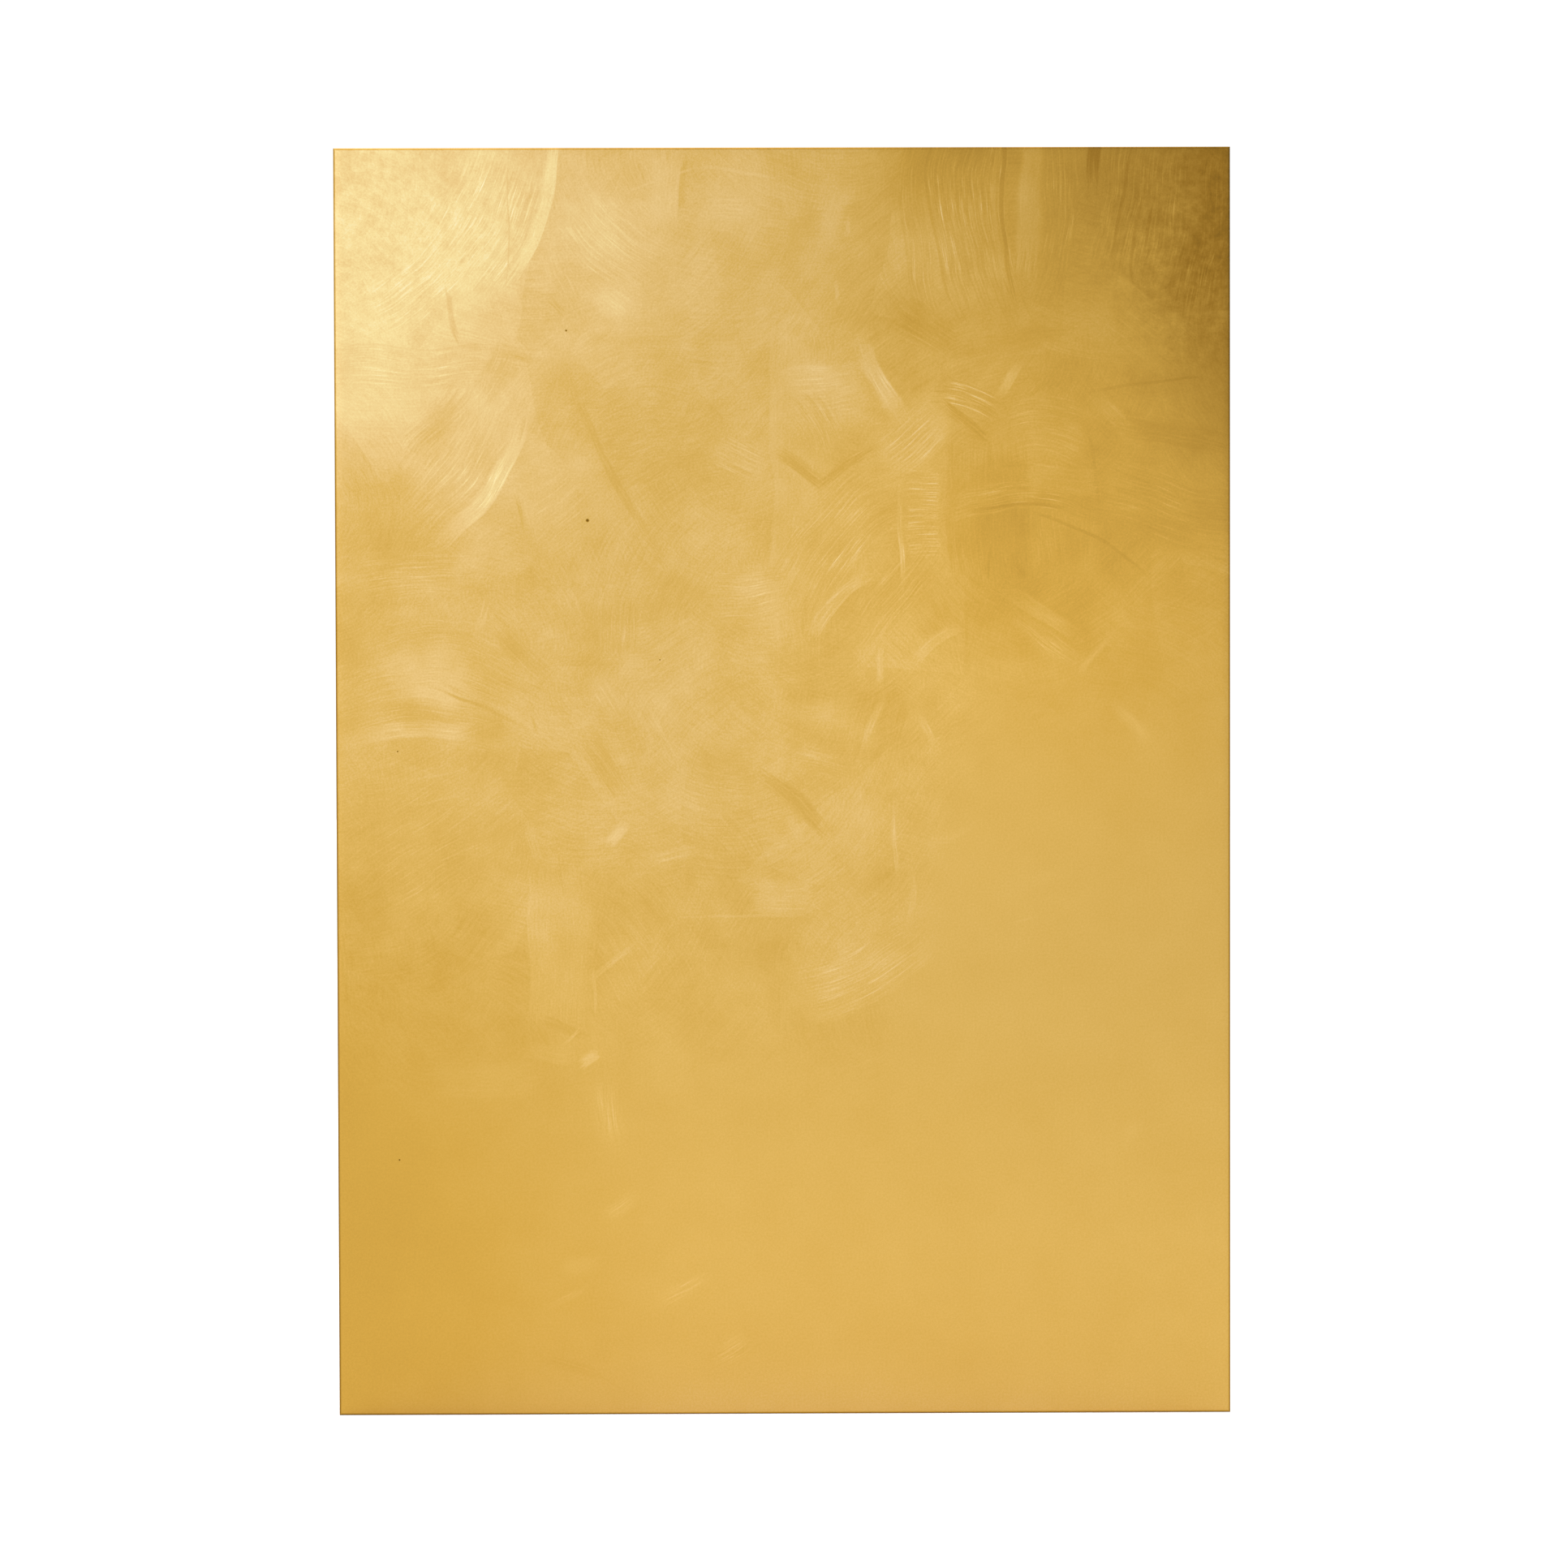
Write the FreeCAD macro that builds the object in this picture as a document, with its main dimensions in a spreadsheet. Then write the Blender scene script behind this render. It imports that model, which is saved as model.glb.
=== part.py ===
"""Self-adhesive brass kick plate: one square-cornered brass sheet, seven strips of double-sided foam
tape on its back, and the release liner that covers each strip until the plate is fitted.

The plate stands upright. +X is to the right as seen from the front, -Y is the polished front and +Y is
the door side. The origin is the centre of the plane that lies against the door.
"""
import FreeCAD, Part
import os

import Sketcher

OUT_FOLDER = "parts"
TOLERANCE = 1e-6
UPRIGHT_STRIPS = ["left", "mid_left", "centre", "mid_right", "right"]

# Driving dimensions in millimetres, with what each one sizes.
DIMENSIONS = [
    ("plate_width", 610.0, "brass sheet, side to side (24 in)"),
    ("plate_height", 864.0, "brass sheet, bottom to top (34 in)"),
    ("plate_thickness", 1.5, "brass sheet gauge"),
    ("edge_round", 1.2, "radius that eases the four front edges"),
    ("tape_width", 19.0, "foam tape, stock width"),
    ("tape_thickness", 1.1, "foam tape, stock thickness"),
    ("edge_inset", 8.0, "plate edge to the nearest tape edge"),
    ("strip_gap", 6.0, "gap between an upright strip and the strip across it"),
    ("liner_thickness", 0.13, "release film"),
    ("liner_overhang", 1.5, "film past the tape's long edges and plain end"),
    ("tab_length", 15.0, "film past the tape's other end, to pull it by"),
    ("tab_round", 5.0, "corner radius of the pull tab"),
]

# Lengths and places that the strips share, as expressions of the driving dimensions.
ACROSS_LENGTH = "(Sizes.plate_width - 2 * Sizes.edge_inset - Sizes.tab_length)"
ACROSS_HEIGHT = "(Sizes.plate_height / 2 - Sizes.edge_inset - Sizes.tape_width / 2)"
ACROSS_ROOM = "(Sizes.edge_inset + Sizes.tape_width + Sizes.strip_gap)"
UPRIGHT_LENGTH = f"(Sizes.plate_height - 2 * {ACROSS_ROOM} - Sizes.tab_length)"
UPRIGHT_SPREAD = "(Sizes.plate_width - 2 * Sizes.edge_inset - Sizes.tape_width)"
TAPE_CENTRE = "(-Sizes.tab_length / 2)"
LINER_CENTRE = "(-Sizes.liner_overhang / 2)"


def make_sheet(doc):
    """The spreadsheet of driving dimensions: name, value and note, with the name as the value's alias."""
    sheet = doc.addObject("Spreadsheet::Sheet", "Sizes")
    for row, (alias, value, note) in enumerate(DIMENSIONS, start=1):
        sheet.set(f"A{row}", alias)
        sheet.set(f"B{row}", str(value))
        sheet.setAlias(f"B{row}", alias)
        sheet.set(f"C{row}", note)
    doc.recompute()


def origin_plane(body, role):
    """The plane of the body's own origin that has this role, such as XZ_Plane."""
    return next(item for item in body.Origin.OriginFeatures if item.Role == role)


def centred_rectangle(body, length, breadth):
    """A sketch on the body's XZ plane: a rectangle centred on the body's origin, length along X.

    The corners are a first guess that gives the four lines their order. The constraints size them.
    """
    sketch = body.newObject("Sketcher::SketchObject", body.Name + "_outline")
    sketch.AttachmentSupport = [(origin_plane(body, "XZ_Plane"), "")]
    sketch.MapMode = "FlatFace"
    corners = [FreeCAD.Vector(x, y, 0) for x, y in ((-2, -1), (2, -1), (2, 1), (-2, 1))]
    for start, end in zip(corners, corners[1:] + corners[:1]):
        sketch.addGeometry(Part.LineSegment(start, end), False)
    bottom, right, top, left = range(4)
    for line, following in ((bottom, right), (right, top), (top, left), (left, bottom)):
        sketch.addConstraint(Sketcher.Constraint("Coincident", line, 2, following, 1))
    for line in (bottom, top):
        sketch.addConstraint(Sketcher.Constraint("Horizontal", line))
    for line in (right, left):
        sketch.addConstraint(Sketcher.Constraint("Vertical", line))
    sketch.addConstraint(Sketcher.Constraint("Symmetric", bottom, 1, top, 1, -1, 1))
    sized_lines = [("length", "DistanceX", bottom, length), ("breadth", "DistanceY", right, breadth)]
    for name, kind, line, size in sized_lines:
        index = sketch.addConstraint(Sketcher.Constraint(kind, line, 1, line, 2, 1.0))
        sketch.renameConstraint(index, name)
        sketch.setExpression(f"Constraints.{name}", size)
    return sketch


def slab(doc, label, length, breadth, thickness):
    """A body with a flat rectangle padded towards -Y, and the pad itself."""
    body = doc.addObject("PartDesign::Body", label)
    body.Label = label
    sketch = centred_rectangle(body, length, breadth)
    pad = body.newObject("PartDesign::Pad", label + "_pad")
    pad.Profile = sketch
    pad.setExpression("Length", thickness)
    doc.recompute()
    return body, pad


def round_edges(body, pad, is_wanted, radius):
    """Fillets the pad's edges that is_wanted picks."""
    names = [f"Edge{i}" for i, edge in enumerate(pad.Shape.Edges, start=1) if is_wanted(edge)]
    fillet = body.newObject("PartDesign::Fillet", body.Name + "_round")
    fillet.Base = (pad, names)
    fillet.setExpression("Radius", radius)
    body.Tip = fillet


def place(body, upright, along, offset, depth):
    """Puts a body so far along its own length, offset sideways, with its door side at -depth."""
    if upright:
        quarter_turn = FreeCAD.Rotation(FreeCAD.Vector(0, 1, 0), -90)
        body.Placement = FreeCAD.Placement(FreeCAD.Vector(), quarter_turn)
    body.setExpression(".Placement.Base.x", offset if upright else along)
    body.setExpression(".Placement.Base.y", f"-({depth})")
    body.setExpression(".Placement.Base.z", along if upright else offset)


def brass_plate(doc):
    """The sheet: square corners, and a small round along each of the four front edges."""
    sizes = ["Sizes.plate_width", "Sizes.plate_height", "Sizes.plate_thickness"]
    body, pad = slab(doc, "brass_plate", *sizes)
    front = -pad.Length.Value

    def lies_on_front(edge):
        return all(abs(vertex.Y - front) < TOLERANCE for vertex in edge.Vertexes)

    round_edges(body, pad, lies_on_front, "Sizes.edge_round")
    place(body, False, "0", "0", "Sizes.liner_thickness + Sizes.tape_thickness")
    return body


def tape(doc, name, upright, run_length, offset):
    """One strip of foam tape, square cut, stuck to the back of the sheet."""
    body, _ = slab(doc, f"tape_{name}", run_length, "Sizes.tape_width", "Sizes.tape_thickness")
    place(body, upright, TAPE_CENTRE, offset, "Sizes.liner_thickness")
    return body


def liner(doc, name, upright, run_length, offset):
    """The film over one strip: a little wider than the tape, with a round-cornered pull tab at one end."""
    full_length = f"{run_length} + Sizes.liner_overhang + Sizes.tab_length"
    breadth = "Sizes.tape_width + 2 * Sizes.liner_overhang"
    body, pad = slab(doc, f"liner_{name}", full_length, breadth, "Sizes.liner_thickness")
    tab_end = pad.Shape.BoundBox.XMax

    def is_tab_corner(edge):
        at_end = all(abs(vertex.X - tab_end) < TOLERANCE for vertex in edge.Vertexes)
        return at_end and edge.BoundBox.ZLength < TOLERANCE

    round_edges(body, pad, is_tab_corner, "Sizes.tab_round")
    place(body, upright, LINER_CENTRE, offset, "0")
    return body


def strips():
    """Each strip as name, upright or not, tape length and sideways offset: two across, then the uprights."""
    yield "top", False, ACROSS_LENGTH, ACROSS_HEIGHT
    yield "bottom", False, ACROSS_LENGTH, f"-{ACROSS_HEIGHT}"
    middle = (len(UPRIGHT_STRIPS) - 1) // 2
    for index, name in enumerate(UPRIGHT_STRIPS):
        share = f"{index - middle} / {len(UPRIGHT_STRIPS) - 1}"
        yield name, True, UPRIGHT_LENGTH, f"{share} * {UPRIGHT_SPREAD}"


def check(doc, bodies):
    """Stops the build if any object failed or any sub-part isn't one valid solid."""
    failed = [item.Label for item in doc.Objects if {"Invalid", "Error"} & set(item.State)]
    if failed:
        raise RuntimeError(f"these objects failed: {failed}")
    for body in bodies:
        shape = body.Shape
        if shape.isNull() or not shape.isValid() or len(shape.Solids) != 1 or shape.Volume <= 0:
            raise RuntimeError(f"{body.Label} isn't one valid solid")


def main():
    doc = FreeCAD.newDocument("kick_plate")
    make_sheet(doc)
    bodies = [brass_plate(doc)]
    for strip in strips():
        bodies.append(tape(doc, *strip))
        bodies.append(liner(doc, *strip))
    doc.recompute()
    check(doc, bodies)
    os.makedirs(OUT_FOLDER, exist_ok=True)
    for body in bodies:
        body.Shape.exportStep(os.path.join(OUT_FOLDER, body.Label + ".step"))
        box = body.Shape.BoundBox
        print(f"{body.Label}: {box.XLength:.2f} x {box.YLength:.2f} x {box.ZLength:.2f} mm")


main()
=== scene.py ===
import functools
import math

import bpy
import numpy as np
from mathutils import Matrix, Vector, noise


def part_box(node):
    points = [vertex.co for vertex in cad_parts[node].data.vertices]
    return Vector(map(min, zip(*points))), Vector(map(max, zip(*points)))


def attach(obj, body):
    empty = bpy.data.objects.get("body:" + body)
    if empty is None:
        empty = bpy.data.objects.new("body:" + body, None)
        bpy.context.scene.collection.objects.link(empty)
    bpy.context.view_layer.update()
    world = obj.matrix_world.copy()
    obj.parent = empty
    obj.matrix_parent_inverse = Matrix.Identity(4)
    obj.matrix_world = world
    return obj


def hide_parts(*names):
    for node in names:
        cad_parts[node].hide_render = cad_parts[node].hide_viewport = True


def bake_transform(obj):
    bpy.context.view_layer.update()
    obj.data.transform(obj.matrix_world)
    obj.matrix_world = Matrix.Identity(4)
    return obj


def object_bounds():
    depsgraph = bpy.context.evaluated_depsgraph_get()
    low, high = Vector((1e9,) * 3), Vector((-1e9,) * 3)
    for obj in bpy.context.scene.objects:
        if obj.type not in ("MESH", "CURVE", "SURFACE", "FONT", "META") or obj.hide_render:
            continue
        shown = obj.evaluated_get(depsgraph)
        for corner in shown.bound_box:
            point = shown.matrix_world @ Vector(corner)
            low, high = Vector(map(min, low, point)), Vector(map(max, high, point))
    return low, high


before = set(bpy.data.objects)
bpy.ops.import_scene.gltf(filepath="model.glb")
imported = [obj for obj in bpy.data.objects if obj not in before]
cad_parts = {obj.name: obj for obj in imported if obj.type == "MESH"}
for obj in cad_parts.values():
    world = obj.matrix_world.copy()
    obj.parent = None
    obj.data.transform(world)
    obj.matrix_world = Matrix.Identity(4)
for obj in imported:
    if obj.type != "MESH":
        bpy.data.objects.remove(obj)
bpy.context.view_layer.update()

# The looks of the self-adhesive brass kick plate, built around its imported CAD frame.
#
# The CAD gives every place and size. This script replaces each CAD solid by a finer mesh of the same
# piece: the hand-rubbed brass sheet, its seven foam tapes and the seven release liners, which bend as
# they peel. Mesh lengths are in metres. Marks on the sheet are laid out in millimetres from its centre,
# x to the right and z up as seen from the front.

MM = 0.001
SHEET_LOW, SHEET_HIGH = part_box("brass_plate")
STRIP_NAMES = sorted(name[len("tape_"):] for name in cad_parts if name.startswith("tape_"))

# --- Shader building blocks ---


def feed(tree, socket, value):
    """Gives a socket either another node's output or a plain value."""
    if isinstance(value, bpy.types.NodeSocket):
        tree.links.new(value, socket)
    else:
        socket.default_value = value


def feed_all(tree, inputs, values):
    """Feeds the inputs named or numbered in a dict of values."""
    for key, value in values.items():
        feed(tree, inputs[key], value)


def put(tree, kind, values=None, **settings):
    """Adds a node with these settings, and feeds it these values."""
    made = tree.nodes.new(kind)
    for name, setting in settings.items():
        setattr(made, name, setting)
    feed_all(tree, made.inputs, values or {})
    return made


def calc(tree, operation, *values):
    """One Math node. Returns its output."""
    return put(tree, "ShaderNodeMath", dict(enumerate(values)), operation=operation).outputs[0]


def times(tree, first, second):
    """The product of two numbers."""
    return calc(tree, "MULTIPLY", first, second)


def vector_calc(tree, operation, *values):
    """One Vector Math node. Returns its vector output."""
    made = put(tree, "ShaderNodeVectorMath", dict(enumerate(values)), operation=operation)
    return made.outputs["Value" if operation in {"DOT_PRODUCT", "LENGTH"} else "Vector"]


def smooth(tree, value, start, end, low=0.0, high=1.0):
    """Runs smoothly from low to high as value goes from start to end."""
    sockets = {"Value": value, "From Min": start, "From Max": end, "To Min": low, "To Max": high}
    return put(tree, "ShaderNodeMapRange", sockets, interpolation_type="SMOOTHSTEP").outputs["Result"]


def scaled(tree, vector, factor):
    """A vector times a number."""
    sockets = {0: vector, "Scale": factor}
    return put(tree, "ShaderNodeVectorMath", sockets, operation="SCALE").outputs[0]


def triple(tree, x, y, z):
    """Combines three numbers into a vector."""
    return put(tree, "ShaderNodeCombineXYZ", {0: x, 1: y, 2: z}).outputs[0]


def split(tree, vector):
    """The three numbers of a vector."""
    return put(tree, "ShaderNodeSeparateXYZ", {0: vector}).outputs


def cloud(tree, vector, size, detail=2.0, roughness=0.5, dimensions="3D", output="Fac", normalize=True):
    """Fractal noise whose coarsest lumps are about size long, in the units of vector."""
    sockets = {"Vector": vector, "Scale": 1.0 / size, "Detail": detail, "Roughness": roughness}
    settings = {"noise_dimensions": dimensions, "normalize": normalize}
    return put(tree, "ShaderNodeTexNoise", sockets, **settings).outputs[output]


def lumps(tree, vector, size, detail, roughness):
    """Flat fractal noise about 0, between about -0.5 and 0.5."""
    return calc(tree, "SUBTRACT", cloud(tree, vector, size, detail, roughness, "2D"), 0.5)


def object_place(tree):
    """Where a point is on the object, before any peeling."""
    return put(tree, "ShaderNodeTexCoord").outputs["Object"]


def object_millimetres(tree):
    """Where a point is on the object, in millimetres."""
    return vector_calc(tree, "MULTIPLY", object_place(tree), (1.0 / MM,) * 3)


def face_normal(tree):
    """Which way the surface faces."""
    return put(tree, "ShaderNodeNewGeometry").outputs["Normal"]


def blend(tree, kind, factor, first, second):
    """The first value where factor is 0, the second where it is 1. The kind is FLOAT, VECTOR or RGBA."""
    output = ["FLOAT", "VECTOR", "RGBA"].index(kind)
    slot = 2 * output + 2
    sockets = {"Factor": factor, slot: first, slot + 1: second}
    return put(tree, "ShaderNodeMix", sockets, data_type=kind).outputs[output]


def colour_ramp(tree, value, stops):
    """A colour ramp with the given (place, colour) stops."""
    made = put(tree, "ShaderNodeValToRGB", {0: value})
    elements = made.color_ramp.elements
    while len(elements) < len(stops):
        elements.new(0.5)
    for element, (place, colour) in zip(elements, stops):
        element.position = place
        element.color = (*colour, 1.0)
    return made.outputs["Color"]


def new_group(name, inputs, outputs):
    """A node group with these (name, kind) sockets. Returns the tree and its input and output nodes."""
    tree = bpy.data.node_groups.new(name, "ShaderNodeTree")
    for way, sockets in (("INPUT", inputs), ("OUTPUT", outputs)):
        for socket_name, kind in sockets:
            tree.interface.new_socket(name=socket_name, in_out=way, socket_type="NodeSocket" + kind)
    return tree, tree.nodes.new("NodeGroupInput").outputs, tree.nodes.new("NodeGroupOutput").inputs


def use_group(tree, group, sockets):
    """Adds a use of a node group. Returns its outputs."""
    return put(tree, "ShaderNodeGroup", sockets, node_tree=group).outputs


def new_material(name):
    """A material with an empty node tree. Returns it, its tree and its Principled BSDF's inputs."""
    material = bpy.data.materials.new(name)
    material.use_nodes = True
    tree = material.node_tree
    tree.nodes.clear()
    surface = tree.nodes.new("ShaderNodeBsdfPrincipled")
    output = tree.nodes.new("ShaderNodeOutputMaterial")
    tree.links.new(surface.outputs["BSDF"], output.inputs["Surface"])
    return material, tree, surface.inputs


# --- The rubbed brass front ---

# Each swipe of the rubbing pad: middle x, z; the way it points, in degrees anticlockwise from +x; its
# length and width; how far its ends hang to its right; how much lighter than the rest, as a natural
# logarithm; how strong its scratches are; how softly its right side, left side and ends fade, as shares
# of its half width and half length, or once if they fade alike. The rubbing marks are real, but their
# lightness and that of their scratches is painted sheen, standing in for how they catch the light.
# Later swipes lie over earlier ones.
SWIPES = [
    # Top left.
    (-205, 385, 62, 150, 85, -16, 0.05, 0.3, 0.3, 0.8, 0.5),
    (-250, 335, 42, 110, 50, -8, 0.03, 0.25, 0.5),
    (-163, 390, 73, 110, 12, -9, 0.18, 0.1, 0.12, 0.9, 0.35),
    (-187, 386, 90, 90, 2, 0, -0.05, 0.02, 0.9, 0.9, 0.4),
    (-245, 281, 0, 125, 31, 0, -0.03, 0.22, 0.6, 0.05, 0.25),
    (-240, 297, 0, 125, 2, 0, -0.07, 0.02, 0.6, 0.6, 0.4),
    (-231, 244, 50, 66, 50, 0, -0.13, 0.15, 0.7, 0.9, 0.8),
    (-196, 272, 58, 56, 26, -6, -0.12, 0.12, 0.9, 0.35, 0.8),
    (-180, 290, -12, 36, 10, 3, -0.08, 0.15, 0.9, 0.5, 0.9),
    (-225, 215, 52, 130, 50, -14, 0.04, 0.25, 0.3, 0.9, 0.5),
    (-199, 202, 55, 125, 15, -14, 0.24, 0.35, 0.12, 0.9, 0.7),
    (-194, 231, 50, 26, 22, 0, 0.08, 0.2, 0.9),
    (-223, 318, 106, 42, 5, 0, -0.15, 0.05, 0.6, 0.6, 0.5),
    (-219, 355, 50, 10, 6, 0, -0.14, 0.1, 0.9),
    (-153, 285, 80, 66, 28, 0, -0.05, 0.05, 0.9, 0.9, 0.8),
    (-148, 188, 38, 90, 70, 0, 0.05, 0.12, 0.4, 0.4, 0.5),
    (-180, 184, 100, 34, 4, 0, -0.08, 0.1, 0.9),
    (-174, 182, 105, 44, 7, 3, 0.07, 0.05, 0.9, 0.3, 0.5),
    (-118, 214, 116, 150, 7, 3, -0.07, 0.1, 0.6, 0.4, 0.5),
    (-118, 368, 138, 100, 60, 10, 0.03, 0.22, 0.6, 0.6, 0.5),
    (-150, 345, 115, 60, 26, 0, -0.04, 0.15, 0.9, 0.9, 0.8),
    (-153, 324, 132, 22, 10, 0, -0.1, 0.2, 0.9),
    (-113, 327, 140, 50, 34, 0, 0.1, 0.15, 0.9, 0.9, 0.8),
    (-82, 402, 90, 56, 26, 0, 0.06, 0.08, 0.06, 0.9, 0.25),
    (-67, 407, 92, 40, 6, 0, -0.1, 0.05, 0.9, 0.1, 0.4),
    (-38, 390, 0, 60, 46, 0, 0.04, 0.12, 0.9, 0.9, 0.8),
    (-80, 413, 18, 60, 3, 4, 0.06, 0.05, 0.9, 0.9, 0.6),
    (-30, 416, -6, 60, 4, 2, 0.06, 0.05, 0.9, 0.9, 0.5),
    # Top middle.
    (20, 200, 90, 230, 56, 0, 0.06, 0.05, 0.9, 0.04, 0.3),
    (12, 372, 70, 60, 22, 0, -0.05, 0.05, 0.9, 0.9, 0.8),
    (35, 385, 75, 80, 22, 0, 0.04, 0.08, 0.9, 0.9, 0.8),
    (45, 380, 85, 18, 5, 0, 0.06, 0.05, 0.9),
    (39, 333, 95, 22, 4, 0, 0.06, 0.05, 0.8),
    (28, 262, 4, 66, 50, 0, 0.1, 0.18, 0.6, 0.15, 0.4),
    (25, 245, 120, 60, 40, -6, 0.07, 0.25, 0.9, 0.9, 0.8),
    (12, 215, 143, 42, 12, 0, -0.1, 0.15, 0.9, 0.3, 0.6),
    (48, 220, 34, 76, 10, 0, -0.1, 0.2, 0.2, 0.9, 0.6),
    (86, 236, 38, 84, 44, 0, 0.12, 0.3, 0.25, 0.8, 0.6),
    (66, 270, 118, 74, 17, 6, 0.22, 0.3, 0.3, 0.8, 0.9),
    (35, 170, 48, 120, 60, 14, 0.02, 0.22, 0.4),
    (95, 184, 0, 28, 78, 0, 0.07, 0.35, 0.5, 0.5, 0.15),
    (75, 128, 52, 80, 45, 0, 0.0, 0.25, 0.6),
    (32, 124, 46, 62, 12, 5, 0.12, 0.25, 0.12, 0.8, 0.35),
    (80, 165, 92, 80, 5, 0, 0.14, 0.4, 0.9, 0.4, 0.6),
    (66, 78, 80, 44, 7, 0, 0.11, 0.3, 0.9, 0.9, 0.8),
    # Top right.
    (90, 385, 90, 190, 24, 22, -0.04, 0.2, 0.9, 0.1, 0.3),
    (170, 400, 86, 120, 24, 0, 0.17, 0.08, 0.7, 0.5, 0.5),
    (190, 398, 90, 190, 26, -24, 0.02, 0.24, 0.4, 0.4, 0.5),
    (97, 307, 150, 56, 34, 0, -0.11, 0.35, 0.9),
    (124, 400, 90, 200, 56, 28, 0.0, 0.3, 0.08, 0.15, 0.4),
    (100, 400, 90, 170, 3, 20, -0.1, 0.05, 0.5, 0.5, 0.3),
    (149, 400, 90, 140, 4, 8, -0.18, 0.05, 0.3, 0.8, 0.3),
    (144, 400, 90, 150, 3, 9, 0.06, 0.05, 0.5, 0.5, 0.3),
    (98, 312, 140, 60, 30, 0, -0.1, 0.12, 0.9),
    (165, 304, 5, 80, 14, 0, -0.07, 0.05, 0.8),
    (248, 392, 82, 130, 76, -3, 0.05, 0.3, 0.4, 0.4, 0.5),
    (285, 345, 80, 80, 50, 0, -0.1, 0.5, 0.9),
    (213, 430, 84, 56, 11, 0, -0.3, 0.1, 0.3, 0.3, 0.9),
    (295, 392, 84, 100, 26, 0, -0.1, 0.3, 0.9, 0.6, 0.8),
    (251, 380, 82, 32, 3, 0, -0.18, 0.05, 0.5, 0.5, 0.6),
    (232, 395, 80, 90, 3, 2, -0.1, 0.05, 0.5),
    (242, 372, 84, 70, 3, 2, -0.1, 0.05, 0.5),
    (239, 306, 144, 84, 60, 0, 0.14, 0.12, 0.08, 0.9, 0.6),
    (296, 317, 0, 24, 6, 0, 0.16, 0.05, 0.9, 0.5, 0.6),
    (248, 272, 8, 90, 3, 0, -0.1, 0.05, 0.6, 0.6, 0.5),
    (228, 246, 128, 54, 16, 0, 0.05, 0.2, 0.5, 0.9, 0.6),
    (250, 250, 70, 60, 10, 0, 0.04, 0.1, 0.9, 0.9, 0.6),
    (265, 238, 168, 90, 24, 0, -0.07, 0.1, 0.9, 0.3, 0.5),
    (213, 216, 100, 72, 3, -3, -0.09, 0.05, 0.6, 0.6, 0.4),
    # Right, where many cross.
    (116, 270, 150, 30, 14, 0, -0.07, 0.2, 0.9),
    (128, 262, 165, 50, 22, -4, 0.0, 0.5, 0.4),
    (126, 245, 144, 46, 9, 0, -0.1, 0.25, 0.2, 0.9, 0.6),
    (154, 277, 60, 34, 9, 0, 0.14, 0.1, 0.3, 0.7, 0.8),
    (180, 240, 176, 66, 50, -8, 0.0, 0.18, 0.1, 0.3, 0.2),
    (139, 184, 90, 96, 57, 0, -0.065, 0.09, 0.08, 0.12, 0.5),
    (195, 165, 90, 60, 54, 0, 0.03, 0.12, 0.4, 0.05, 0.3),
    (258, 187, 162, 110, 60, 4, -0.03, 0.16, 0.4),
    (160, 196, 2, 110, 22, 12, 0.0, 0.35, 0.1, 0.5, 0.35),
    (190, 206, -2, 50, 20, 0, 0.06, 0.1, 0.4, 0.1, 0.08),
    (158, 216, 0, 22, 6, 0, -0.1, 0.05, 0.9),
    (160, 188, 0, 78, 3, 4, -0.15, 0.05, 0.9, 0.3, 0.7),
    (212, 166, 153, 90, 3, -5, -0.1, 0.05, 0.5),
    (238, 208, 152, 34, 2, 0, -0.08, 0.05, 0.5),
    (141, 151, 80, 28, 2, 0, -0.12, 0.05, 0.5),
    (160, 143, 130, 14, 8, 0, -0.12, 0.1, 0.9),
    (178, 98, 145, 80, 18, 4, 0.03, 0.25, 0.6, 0.6, 0.5),
    (176, 117, 148, 70, 12, 0, 0.08, 0.15, 0.4, 0.15, 0.5),
    (214, 88, 47, 40, 6, 0, 0.07, 0.15, 0.9, 0.4, 0.6),
    (104, 97, 42, 40, 10, 3, 0.12, 0.1, 0.08, 0.8, 0.4),
    (238, 40, 130, 44, 14, 0, 0.08, 0.15, 0.9, 0.9, 0.8),
    # Left.
    (-255, 143, 8, 100, 40, 4, 0.02, 0.22, 0.6, 0.6, 0.5),
    (-238, 75, -3, 150, 100, 22, 0.0, 0.16, 0.15, 0.5, 0.4),
    (-178, 90, 130, 60, 20, 0, -0.05, 0.12, 0.9, 0.4, 0.8),
    (-240, 76, -4, 100, 54, 10, 0.19, 0.16, 0.5, 0.9, 0.9),
    (-205, 57, 156, 84, 4, -4, 0.06, 0.1, 0.5, 0.9, 0.6),
    (-203, 52, 155, 80, 3, -4, -0.05, 0.05, 0.3, 0.9, 0.6),
    (-245, 38, 3, 110, 14, 6, 0.09, 0.15, 0.3, 0.9, 0.5),
    (-200, 35, 5, 50, 26, 0, -0.06, 0.1, 0.9),
    (-169, 40, 100, 18, 3, 0, -0.07, 0.05, 0.9),
    (-204, 115, 70, 40, 12, 0, 0.06, 0.2, 0.9, 0.9, 0.8),
    (-118, 105, 90, 40, 38, 0, -0.05, 0.15, 0.1, 0.9, 0.5),
    (-122, 58, 120, 46, 22, 0, 0.06, 0.2, 0.9, 0.9, 0.8),
    (-80, 30, 122, 50, 12, 0, 0.04, 0.3, 0.9, 0.9, 0.8),
    (-245, -45, 33, 150, 110, 0, -0.01, 0.12, 0.6, 0.6, 0.4),
    (-240, 5, 12, 60, 3, -3, 0.05, 0.05, 0.9, 0.9, 0.8),
    (-235, -11, 10, 46, 3, 0, 0.05, 0.05, 0.9, 0.9, 0.8),
    (-183, 15, 75, 30, 3, 2, 0.05, 0.05, 0.9, 0.9, 0.8),
    (-120, 10, 130, 60, 24, 0, -0.07, 0.12, 0.9, 0.4, 0.9),
    (-170, -38, 100, 40, 12, 0, 0.06, 0.15, 0.9, 0.9, 0.8),
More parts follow.
